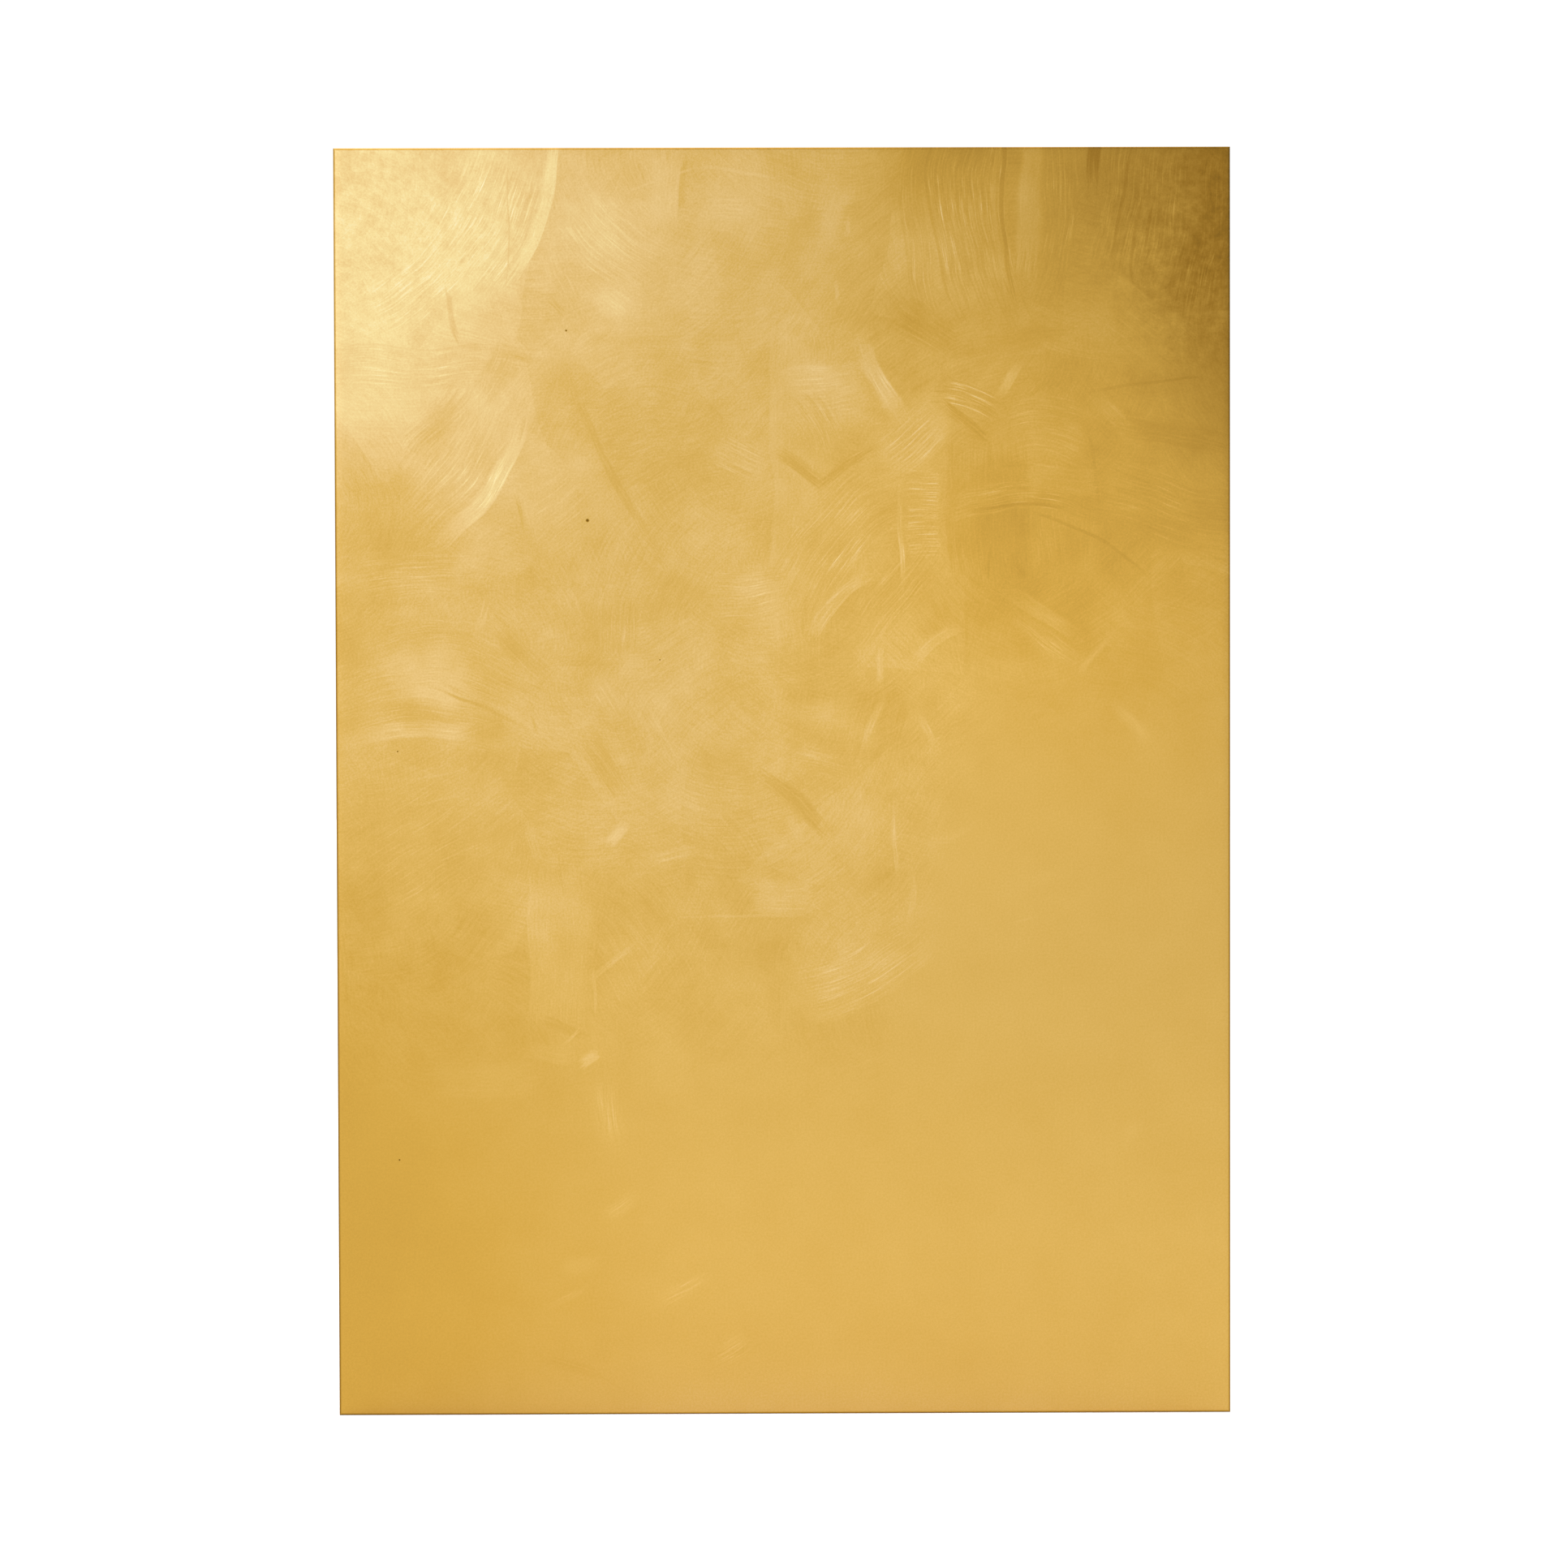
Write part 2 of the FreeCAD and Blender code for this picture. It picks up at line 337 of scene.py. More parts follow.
    (-113, -34, 55, 26, 12, 0, 0.16, 0.2, 0.5, 0.9, 0.8),
    (-118, -14, 30, 22, 4, 0, 0.08, 0.1, 0.9, 0.9, 0.8),
    (-150, -110, 90, 110, 50, 0, 0.05, 0.06, 0.7, 0.05, 0.25),
    (-75, -50, 20, 60, 12, 5, 0.04, 0.2, 0.9, 0.5, 0.7),
    (-118, -122, 38, 46, 6, 0, 0.06, 0.15, 0.3, 0.9, 0.5),
    (-128, -144, 95, 34, 3, 0, 0.09, 0.05, 0.5),
    (-150, -169, 158, 36, 8, 0, -0.07, 0.05, 0.3, 0.9, 0.6),
    (-158, -183, 170, 40, 16, 0, 0.06, 0.1, 0.9, 0.4, 0.6),
    (-145, -174, 40, 20, 3, 0, 0.08, 0.05, 0.5, 0.5, 0.6),
    (-133, -188, 38, 16, 9, 0, 0.16, 0.1, 0.3, 0.9, 0.7),
    (-205, -203, 3, 80, 34, -4, 0.04, 0.05, 0.5, 0.9, 0.4),
    (-122, -225, 95, 64, 26, 5, 0.05, 0.3, 0.9, 0.9, 0.7),
    # Middle and bottom.
    (-25, 128, 8, 60, 50, 0, 0.02, 0.2, 0.6, 0.6, 0.3),
    (-30, 225, 155, 60, 45, 0, 0.05, 0.25, 0.9, 0.9, 0.6),
    (-35, 18, 0, 44, 30, 0, -0.05, 0.05, 0.9, 0.9, 0.8),
    (20, 48, 5, 60, 24, 0, 0.06, 0.12, 0.9),
    (25, 12, -10, 70, 26, 0, 0.01, 0.2, 0.8),
    (8, -14, 139, 60, 15, 0, -0.1, 0.1, 0.5, 0.6, 0.5),
    (8, -32, 130, 30, 12, 0, 0.07, 0.1, 0.9, 0.9, 0.8),
    (62, 42, 65, 46, 8, 0, 0.08, 0.25, 0.9, 0.9, 0.8),
    (97, 34, 120, 26, 7, 0, 0.08, 0.1, 0.3, 0.9, 0.7),
    (76, -40, 88, 70, 5, 0, 0.09, 0.35, 0.9, 0.5, 0.6),
    (0, -78, 0, 40, 30, 0, 0.05, 0.1, 0.3, 0.3, 0.2),
    (-25, -92, 0, 90, 3, 0, 0.04, 0.03, 0.9, 0.5, 0.6),
    (-25, -125, 80, 60, 50, 0, -0.03, 0.03, 0.9, 0.9, 0.8),
    (52, -125, 28, 120, 56, -10, 0.04, 0.2, 0.2, 0.8, 0.35),
    (84, -80, 85, 60, 8, -3, 0.06, 0.15, 0.4, 0.9, 0.6),
    (115, -36, 25, 50, 10, 0, 0.04, 0.05, 0.9, 0.9, 0.8),
    (180, -64, 10, 50, 20, 0, 0.03, 0.05, 0.9),
    (165, -95, 15, 30, 3, 0, 0.04, 0.03, 0.9, 0.9, 0.8),
    (236, -240, 60, 30, 16, 0, 0.04, 0.03, 0.9),
    (-140, -330, 20, 40, 18, 0, 0.05, 0.05, 0.9),
    (-70, -346, 30, 56, 18, 0, 0.05, 0.25, 0.9, 0.9, 0.8),
    (-150, -352, 30, 44, 6, 0, 0.05, 0.15, 0.9, 0.9, 0.8),
    (-112, -288, 35, 34, 16, 0, 0.06, 0.2, 0.9, 0.9, 0.8),
    (-36, -388, 33, 40, 22, 0, 0.02, 0.35, 0.9, 0.9, 0.8),
    (-145, -400, -22, 70, 12, 0, -0.03, 0.1, 0.9),
]
SCRATCH_PITCH = 1.5       # mm between the coarsest scratches
SCRATCH_STRETCH = 24.0    # how many times longer than wide a scratch is
SCRATCH_STRENGTH = 0.27   # what the strength of each swipe's scratches is multiplied by
SCRATCH_SPARKLE = 3.5     # painted glints: above 1, the light scratches stand out more than the dark ones
SWIPE_COVER = 0.85        # how far a swipe hides what it lies over
SWIPE_RAGGED = 0.25       # how unevenly the scratches of a swipe end
SWIPE_REACH = 1.25        # how far past its half length a swipe's longest scratches may go
SWIPE_DETAIL = (2.0, 0.8)  # how much finer detail a swipe's scratches have, and how rough it is
SWIPE_SEED = (7.3, 3.1)   # how far apart the swipes lie in the noise that draws their scratches
WOBBLE = 10.0             # mm that the outlines of swipes wander, from end to end
WOBBLE_CLOUD = (55.0, 1.0, 0.4)  # mm from bend to bend of that, its detail and its roughness
ARC_RADIUS = 120.0        # mm, about how far the all-over arcs lie from their centres
ARC_DETAIL = (3.0, 0.75)  # detail and roughness of the all-over arcs
TILES_ACROSS = 5          # the front is shaded in tiles, each with only the swipes that cross it
TILES_UP = 8
TILE_WIDTH = (SHEET_HIGH.x - SHEET_LOW.x) / TILES_ACROSS
TILE_HEIGHT = (SHEET_HIGH.z - SHEET_LOW.z) / TILES_UP

# The all-over patches of arcs: where in the pattern they start, size, how strong the arcs are and how far
# the patches differ in lightness. That lightness is painted sheen of the rubbed brass.
RUB_PATCHES = [(900.0, 105.0, 0.034, 0.05), (2600.0, 62.0, 0.026, 0.05)]

# The all-over rubbing fades out below a height that goes from the first of FADE_HEIGHTS to the second as x
# goes across FADE_ACROSS. FADE_UP is where the fade starts and ends, above that height.
FADE_ACROSS = (50.0, 150.0)
FADE_HEIGHTS = (-180.0, 60.0)
FADE_UP = (-70.0, 90.0)
LEAST_VISIBLE = 0.12

# Painted highlights and painted shade: broad lighter and darker areas, such as the glare at the top left
# and the shade at the top right. Middle x, z, half width, half height, lightness as a logarithm.
PAINTED_GLARE_AND_SHADE = [
    (-300, 355, 250, 255, 0.44),
    (-120, 430, 260, 110, 0.14),
    (330, 450, 260, 280, -0.70),
    (335, 270, 120, 190, -0.30),
    (112, 445, 70, 80, -0.26),
    (-60, 345, 190, 115, 0.11),
    (172, 170, 130, 120, -0.11),
    (-275, 182, 90, 50, -0.10),
    (10, 90, 520, 360, 0.13),
    (-360, -330, 330, 360, -0.24),
    (0, -452, 520, 75, 0.12),
]

# Where the brass is deeper in colour, though no darker, and by how much.
DEEPER = (200, 130, 330, 300, 0.18)

# Where the brass is blotchy: middle x, z, half width, half height, how strongly.
BLOTCHES = [(-290, 400, 230, 200, 0.40), (305, 370, 130, 150, 0.85)]

# Stains: x, z, radius.
SPECKS = [(-133, 179, 1.5), (-147, 308, 0.9), (-263, 22, 0.7), (-263, -257, 0.8), (-84, 84, 0.6)]

# The brass at rising brightness, linear: its dark parts are redder and deeper, its bright ones paler.
BRASS_STOPS = [
    (0.00, (0.020, 0.009, 0.001)),
    (0.16, (0.262, 0.138, 0.018)),
    (0.23, (0.376, 0.195, 0.024)),
    (0.41, (0.636, 0.374, 0.065)),
    (0.50, (0.735, 0.466, 0.119)),
    (0.61, (0.840, 0.584, 0.238)),
    (0.76, (0.940, 0.750, 0.350)),
    (1.00, (1.000, 0.930, 0.640)),
]
BRASS_BRIGHTNESS = 0.475

# Noise in the lightness: size in mm, detail, roughness. How strong it is where no rubbing shows, and how
# much stronger where the rubbing is in full.
GRAIN = (1.4, 2.0, 0.8)
GRAIN_STRENGTH, GRAIN_WITH_RUBBING = 0.18, 0.08
MOTTLE = (48.0, 5.0, 0.62)
MOTTLE_STRENGTH, MOTTLE_WITH_RUBBING = 0.05, 0.25
BLOTCH = (9.0, 3.0, 0.7)

# Painted shade along the rounded edges of the front, as if they mirrored something dark; it also dims the
# lamp's highlight on the top edge.
EDGE_SHADE_WIDTH = 1.8       # mm from the edge that the painted shade starts at
EDGE_SHADE_FULL = 0.3        # mm from the edge that it is full at
EDGE_SHADE_TONE = -0.95
STAIN_CORE = 0.4          # the share of a stain's radius that is fully dark
STAIN_DARKNESS = 0.72
STAIN_ROUGHNESS = 0.3
FRONT_ROUGHNESS = 0.33
RUBBED_SHINE = 0.20       # how much smoother the lighter parts of the rubbing are
SCRATCH_TILT = 0.12       # how far the scratches lean the surface

# The mill finish of the back: how the place is scaled to draw rolling lines, their detail and roughness;
# the smears' size in mm, detail and roughness.
ROLLING = (0.008, 0.9, 0.0)
ROLLING_DETAIL = (4.0, 0.7)
ROLLING_BUMP = (0.02 * MM, 0.6)        # depth and strength
SMEARS = (140.0, 4.0, 0.55)
BACK_SHARES = (0.30, 0.55)             # of the lines and of the smears in the back's light and dark
BACK_TONES = (0.15, 0.75, 0.26, 0.52)  # from and to these in that, the brightness is from and to these
BACK_ROUGHNESS = (0.25, 0.28)          # how much a full smear adds, and where there is no smear


def signed_cloud(tree, vector, detail, roughness):
    """Fractal noise about 0, in flat lumps one unit long."""
    return cloud(tree, vector, 1.0, detail, roughness, "2D", normalize=False)


def swipe_group():
    """Lays one swipe over what is under it.

    Under and Over are (lightness, tilt along x, tilt along z); the lightness is painted sheen. Spot is
    (x, z, 1), so that a dot product with Along or Across gives the place in the swipe's own frame, which
    has +1 and -1 at its ends and sides. Its middle line is bent into a parabola.
    """
    vectors = ["Under", "Spot", "Along", "Across", "Scratches", "Seed", "Strength", "Tone"]
    floats = ["Bend", "Right Start", "Left Start", "End Start"]
    inputs = [(name, "Vector") for name in vectors] + [(name, "Float") for name in floats]
    tree, given, result = new_group("swipe", inputs, [("Over", "Vector")])
    along = vector_calc(tree, "DOT_PRODUCT", given["Spot"], given["Along"])
    across = vector_calc(tree, "DOT_PRODUCT", given["Spot"], given["Across"])
    across = calc(tree, "MULTIPLY_ADD", times(tree, along, along), given["Bend"], across)

    strands = triple(tree, along, across, 0.0)
    strands = vector_calc(tree, "MULTIPLY_ADD", strands, given["Scratches"], given["Seed"])
    scratch = signed_cloud(tree, strands, *SWIPE_DETAIL)

    reach = calc(tree, "MULTIPLY_ADD", scratch, SWIPE_RAGGED, calc(tree, "ABSOLUTE", along))
    cover = smooth(tree, reach, given["End Start"], 1.0, SWIPE_COVER, 0.0)
    cover = times(tree, cover, smooth(tree, across, -1.0, given["Right Start"]))
    cover = times(tree, cover, smooth(tree, across, 1.0, given["Left Start"]))

    sparkle = calc(tree, "POWER", SCRATCH_SPARKLE, scratch)
    scratches = triple(tree, sparkle, scratch, scratch)
    over = vector_calc(tree, "MULTIPLY_ADD", scratches, given["Strength"], given["Tone"])
    feed(tree, result["Over"], blend(tree, "VECTOR", cover, given["Under"], over))
    return tree


def add_swipe(tree, group, under, spot, number, swipe):
    """Adds one swipe of the list to the brass. Returns what lies on top then."""
    x, z, turn, length, width, bend, tone, strength, *fades = swipe
    right, left, ends = fades if len(fades) > 1 else fades * 3
    angle = math.radians(turn)
    cosine, sine = math.cos(angle), math.sin(angle)
    half_length, half_width = length / 2, width / 2
    strength *= SCRATCH_STRENGTH
    sockets = {
        "Under": under,
        "Spot": spot,
        "Along": (cosine / half_length, sine / half_length, -(x * cosine + z * sine) / half_length),
        "Across": (-sine / half_width, cosine / half_width, (x * sine - z * cosine) / half_width),
        "Bend": bend / half_width,
        "Scratches": (half_length / (SCRATCH_PITCH * SCRATCH_STRETCH), half_width / SCRATCH_PITCH, 0.0),
        "Seed": (number * SWIPE_SEED[0], number * SWIPE_SEED[1], 0.0),
        "Right Start": right - 1.0,
        "Left Start": 1.0 - left,
        "End Start": 1.0 - ends,
        "Strength": (strength, -strength * sine, strength * cosine),
        "Tone": (tone - strength, 0.0, 0.0),
    }
    return use_group(tree, group, sockets)["Over"]


def crosses(swipe, low, high):
    """True if a swipe may reach into the rectangle between two (x, z) corners."""
    x, z, turn, length, width, bend = swipe[:6]
    cosine, sine = abs(math.cos(math.radians(turn))), abs(math.sin(math.radians(turn)))
    reach = SWIPE_REACH * length / 2
    side = width / 2 + abs(bend) * SWIPE_REACH**2
    room_x, room_z = cosine * reach + sine * side, sine * reach + cosine * side
    return low[0] - room_x < x < high[0] + room_x and low[1] - room_z < z < high[1] + room_z


def rub_patches(tree, spot, shift, size, strength, shade):
    """All-over rubbing: patches of fine arcs, each about its own centre. Returns lightness, which is
    painted sheen, and tilt.
    """
    place = vector_calc(tree, "ADD", spot, (shift, shift, 0.0))
    sockets = {"Vector": place, "Scale": 1.0 / size}
    cells = put(tree, "ShaderNodeTexVoronoi", sockets, voronoi_dimensions="2D").outputs
    chance = vector_calc(tree, "SUBTRACT", cells["Color"], (0.5, 0.5, 0.5))
    spread = (2 * ARC_RADIUS, 2 * ARC_RADIUS, 0.0)
    centre = vector_calc(tree, "MULTIPLY_ADD", chance, spread, cells["Position"])
    away = vector_calc(tree, "SUBTRACT", place, centre)
    x, z, _ = split(tree, away)
    scratches_round = ARC_RADIUS / (SCRATCH_PITCH * SCRATCH_STRETCH)
    along = times(tree, calc(tree, "ARCTAN2", z, x), scratches_round)
    across = times(tree, vector_calc(tree, "LENGTH", away), 1.0 / SCRATCH_PITCH)
    strands = signed_cloud(tree, triple(tree, along, across, 0.0), *ARC_DETAIL)
    scratch = times(tree, strands, strength)
    cell_tone = vector_calc(tree, "DOT_PRODUCT", chance, (0.0, 0.0, 1.0))
    tone = calc(tree, "MULTIPLY_ADD", cell_tone, shade, scratch)
    lean = scaled(tree, vector_calc(tree, "NORMALIZE", away), scratch)
    lean_x, lean_z, _ = split(tree, lean)
    return triple(tree, tone, lean_x, lean_z)


def glow(tree, spot, x, z, half_width, half_height, tone):
    """A broad soft area of the given lightness."""
    away = vector_calc(tree, "SUBTRACT", spot, (x, z, 1.0))
    away = vector_calc(tree, "MULTIPLY", away, (1.0 / half_width, 1.0 / half_height, 0.0))
    return smooth(tree, vector_calc(tree, "LENGTH", away), 1.0, 0.0, 0.0, tone)


def speck(tree, spot, x, z, radius):
    """A small dark stain: 1 in its middle, 0 outside it."""
    away = vector_calc(tree, "LENGTH", vector_calc(tree, "SUBTRACT", spot, (x, z, 1.0)))
    return smooth(tree, away, radius, radius * STAIN_CORE)


def total(tree, values):
    """The sum of several numbers."""
    return functools.reduce(lambda first, second: calc(tree, "ADD", first, second), values)


def plate_spot(tree):
    """Where on the plate a point is: x to the right, z up, in millimetres from its centre, and 1."""
    x, _, z = split(tree, object_place(tree))
    return triple(tree, calc(tree, "DIVIDE", x, MM), calc(tree, "DIVIDE", z, MM), 1.0)


def edge_distance(tree, spot):
    """How far a point of the sheet is from its nearest edge, in millimetres."""
    centre = (SHEET_LOW + SHEET_HIGH) / 2
    half = (SHEET_HIGH - SHEET_LOW) / 2
    x, z, _ = split(tree, vector_calc(tree, "SUBTRACT", spot, (centre.x / MM, centre.z / MM, 1.0)))
    room_x = calc(tree, "SUBTRACT", half.x / MM, calc(tree, "ABSOLUTE", x))
    room_z = calc(tree, "SUBTRACT", half.z / MM, calc(tree, "ABSOLUTE", z))
    return calc(tree, "MINIMUM", room_x, room_z)


def add_bump(tree, surface, height, distance, strength):
    """Bumps a surface by a height."""
    sockets = {"Height": height, "Distance": distance, "Strength": strength}
    feed(tree, surface["Normal"], put(tree, "ShaderNodeBump", sockets).outputs[0])


def wobbly(tree, spot):
    """The spot moved about a little, so that the outlines of swipes aren't ruled lines."""
    colour = cloud(tree, spot, *WOBBLE_CLOUD, "2D", "Color")
    shift = vector_calc(tree, "SUBTRACT", colour, (0.5, 0.5, 0.5))
    return vector_calc(tree, "MULTIPLY_ADD", shift, (WOBBLE, WOBBLE, 0.0), spot)


def under_group():
    """What lies under the swipes: all-over rubbing, which fades out towards the bottom right."""
    outputs = [("Layer", "Vector"), ("Visible", "Float")]
    tree, given, result = new_group("all_over", [("Spot", "Vector")], outputs)
    spot = given["Spot"]
    x, z, _ = split(tree, spot)
    fade_height = smooth(tree, x, *FADE_ACROSS, *FADE_HEIGHTS)
    visible = smooth(tree, calc(tree, "SUBTRACT", z, fade_height), *FADE_UP, LEAST_VISIBLE, 1.0)
    large, small = (rub_patches(tree, spot, *values) for values in RUB_PATCHES)
    patches = vector_calc(tree, "ADD", large, small)
    feed_all(tree, result, {"Layer": scaled(tree, patches, visible), "Visible": visible})
    return tree


def finish_group():
    """Turns the rubbing into colour, roughness and normal, with painted highlights and shade, grain,
    painted shade along the edges and stains.
    """
    inputs = [("Spot", "Vector"), ("Layer", "Vector"), ("Visible", "Float")]
    outputs = [("Colour", "Color"), ("Roughness", "Float"), ("Normal", "Vector")]
    tree, given, result = new_group("brass_finish", inputs, outputs)
    spot = given["Spot"]
    # The rubbing's lightness is painted sheen; the rubbing also makes the front smoother where it is
    # lighter.
    rubbing_and_sheen, tilt_x, tilt_z = split(tree, given["Layer"])
    grain = lumps(tree, spot, *GRAIN)
    strength = calc(tree, "MULTIPLY_ADD", given["Visible"], GRAIN_WITH_RUBBING, GRAIN_STRENGTH)
    grain = times(tree, grain, strength)
    mottle = lumps(tree, spot, *MOTTLE)
    strength = calc(tree, "MULTIPLY_ADD", given["Visible"], MOTTLE_WITH_RUBBING, MOTTLE_STRENGTH)
    mottle = times(tree, mottle, strength)
    blotchy = total(tree, [glow(tree, spot, *values) for values in BLOTCHES])
    blotches = times(tree, lumps(tree, spot, *BLOTCH), blotchy)
    # Painted shade along the rounded edges.
    painted_edge_shade = smooth(tree, edge_distance(tree, spot), EDGE_SHADE_WIDTH, EDGE_SHADE_FULL, 0.0, EDGE_SHADE_TONE)
    # Painted highlights and painted shade over broad areas.
    glare_and_shade_areas = [glow(tree, spot, *values) for values in PAINTED_GLARE_AND_SHADE]
    deeper = glow(tree, spot, *DEEPER)
    light = total(tree, [*glare_and_shade_areas, painted_edge_shade, grain, mottle, blotches, rubbing_and_sheen])
    light = calc(tree, "SUBTRACT", light, deeper)
    brightness = times(tree, calc(tree, "EXPONENT", light), BRASS_BRIGHTNESS)
    stained = total(tree, [speck(tree, spot, *values) for values in SPECKS])
    unstained = calc(tree, "MULTIPLY_ADD", stained, -STAIN_DARKNESS, 1.0)
    brightness = times(tree, brightness, unstained)
    roughness = calc(tree, "MULTIPLY_ADD", rubbing_and_sheen, -RUBBED_SHINE, FRONT_ROUGHNESS)
    colour = scaled(tree, colour_ramp(tree, brightness, BRASS_STOPS), calc(tree, "EXPONENT", deeper))
    roughness = calc(tree, "MULTIPLY_ADD", stained, STAIN_ROUGHNESS, roughness)
    normal = face_normal(tree)
    lean = triple(tree, times(tree, tilt_x, SCRATCH_TILT), 0.0, times(tree, tilt_z, SCRATCH_TILT))
    normal = vector_calc(tree, "NORMALIZE", vector_calc(tree, "ADD", normal, lean))
    feed_all(tree, result, {"Colour": colour, "Roughness": roughness, "Normal": normal})
    return tree


def make_front_brass():
    """Hand-rubbed brass, one material for each tile of the front, row after row from the bottom left.

    The faces of a tile stick out of it by up to one pitch of the grid.
    """
    swipe, under, finish = swipe_group(), under_group(), finish_group()
    margin = SHEET_PITCH / MM
    materials = []
    for number in range(TILES_ACROSS * TILES_UP):
        row, column = divmod(number, TILES_ACROSS)
        low_x = (SHEET_LOW.x + column * TILE_WIDTH) / MM - margin
        low_z = (SHEET_LOW.z + row * TILE_HEIGHT) / MM - margin
        high_x, high_z = low_x + TILE_WIDTH / MM + 2 * margin, low_z + TILE_HEIGHT / MM + 2 * margin
        material, tree, surface = new_material(f"brass_front_{number}")
        spot = plate_spot(tree)
        swiped_spot = wobbly(tree, spot)
        base = use_group(tree, under, {"Spot": swiped_spot})
        layer = base["Layer"]
        for order, values in enumerate(SWIPES):
            if crosses(values, (low_x, low_z), (high_x, high_z)):
                layer = add_swipe(tree, swipe, layer, swiped_spot, order, values)
        colour, roughness, normal = use_group(
            tree, finish, {"Spot": spot, "Layer": layer, "Visible": base["Visible"]}
        )
        looks = {"Base Color": colour, "Metallic": 1.0, "Roughness": roughness, "Normal": normal}
        feed_all(tree, surface, looks)
        materials.append(material)
    return materials


def make_back_brass():
    """The mill finish of the unpolished back: fine rolling lines, a few smears of tarnish."""
    material, tree, surface = new_material("brass_back")
    spot = plate_spot(tree)
    lines = cloud(tree, vector_calc(tree, "MULTIPLY", spot, ROLLING), 1.0, *ROLLING_DETAIL, "2D")
    smears = cloud(tree, spot, *SMEARS, "2D")
    line_share, smear_share = BACK_SHARES
    light = calc(tree, "MULTIPLY_ADD", lines, line_share, times(tree, smears, smear_share))
    colour = colour_ramp(tree, smooth(tree, light, *BACK_TONES), BRASS_STOPS)
    roughness = calc(tree, "MULTIPLY_ADD", smears, *BACK_ROUGHNESS)
    feed_all(tree, surface, {"Base Color": colour, "Metallic": 1.0, "Roughness": roughness})
    add_bump(tree, surface, lines, *ROLLING_BUMP)
    return material


# --- The brass sheet's mesh ---

EDGE_ROUND = 1.2 * MM
EDGE_STEPS = 5            # grid steps across the rounded edge
SHEET_PITCH = 5.0 * MM    # grid step elsewhere
SHARP_ANGLE = 40.0        # degrees between faces, above which their edge isn't shaded smooth

# The unevenness of the front: how deep, and from which distance to the edge on it is in full. Then its
# two layers: size, share, and place in the noise.
WAVE_DEPTH = 0.10 * MM
WAVE_MARGIN = 20.0 * MM
WAVES = [(110.0 * MM, 1.0, 1.7), (50.0 * MM, 0.4, 8.2)]


def sheet_places(low, high):
    """Grid places from low to high: close together across the rounded edges, even between them."""
    turns = [math.radians(90.0 * step / EDGE_STEPS) for step in range(EDGE_STEPS)]
    edge = [EDGE_ROUND * (1.0 - math.cos(turn)) for turn in turns]
    inner_low, inner_high = low + EDGE_ROUND, high - EDGE_ROUND
    count = round((inner_high - inner_low) / SHEET_PITCH)
    middle = np.linspace(inner_low, inner_high, count + 1)
    return np.array([low + step for step in edge] + list(middle) + [high - step for step in reversed(edge)])


def edge_fall(gap):
    """How far the front has fallen back at a gap from the edge, along the quarter round."""
    inside = np.clip(EDGE_ROUND - gap, 0.0, EDGE_ROUND)
    return EDGE_ROUND - np.sqrt(EDGE_ROUND**2 - inside**2)


def hand_wave(x, z):
    """The slight unevenness that hand finishing leaves in the front."""
    layers = [share * noise.noise(Vector((x / size, z / size, seed))) for size, share, seed in WAVES]
    return WAVE_DEPTH * sum(layers)


def point_grid(rows, columns, first=0):
    """The indices of points stored row after row from index first, as a list for each row."""
    return np.arange(first, first + rows * columns).reshape(rows, columns).tolist()


def quads(grid, flip):
    """Faces over a grid of point indices."""
    faces = []
    for row, following in zip(grid, grid[1:]):
        for quad in zip(row, row[1:], following[1:], following):
            faces.append(quad[::-1] if flip else quad)
    return faces


def rim_steps(rows, columns):
    """Each step round a grid's outline, as the indices of the point it leaves and the one it reaches."""
    grid = np.array(point_grid(rows, columns))
    walk = np.concatenate([grid[0], grid[1:, -1], grid[-1, -2::-1], grid[-2:0:-1, 0]]).tolist()
    return zip(walk, walk[1:] + walk[:1])


def add_object(name, data):
    """Puts an object with this mesh, lamp or camera in the scene. Returns it."""
    made = bpy.data.objects.new(name, data)
    bpy.context.scene.collection.objects.link(made)
    return made


def mesh_piece(name, points, faces, slots=None):
    """A smooth-shaded object from points and faces. Returns the object."""
    mesh = bpy.data.meshes.new(name)
    mesh.from_pydata([tuple(point) for point in points], [], faces)
    mesh.validate()
    if slots is not None:
        mesh.polygons.foreach_set("material_index", slots)
    mesh.shade_smooth()
    mesh.set_sharp_from_angle(angle=math.radians(SHARP_ANGLE))
    return add_object(name, mesh)


def adopt(piece, node, materials):
    """Gives a piece its materials and puts it in the place of a CAD node."""
    for material in materials:
        piece.data.materials.append(material)
    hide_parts(node)


def tile_number(corner, other_corner):
    """Which tile of the front the face between two of its corners lies in."""
    x, _, z = (Vector(corner) + Vector(other_corner)) / 2 - SHEET_LOW
    column, row = min(int(x / TILE_WIDTH), TILES_ACROSS - 1), min(int(z / TILE_HEIGHT), TILES_UP - 1)
    return row * TILES_ACROSS + column


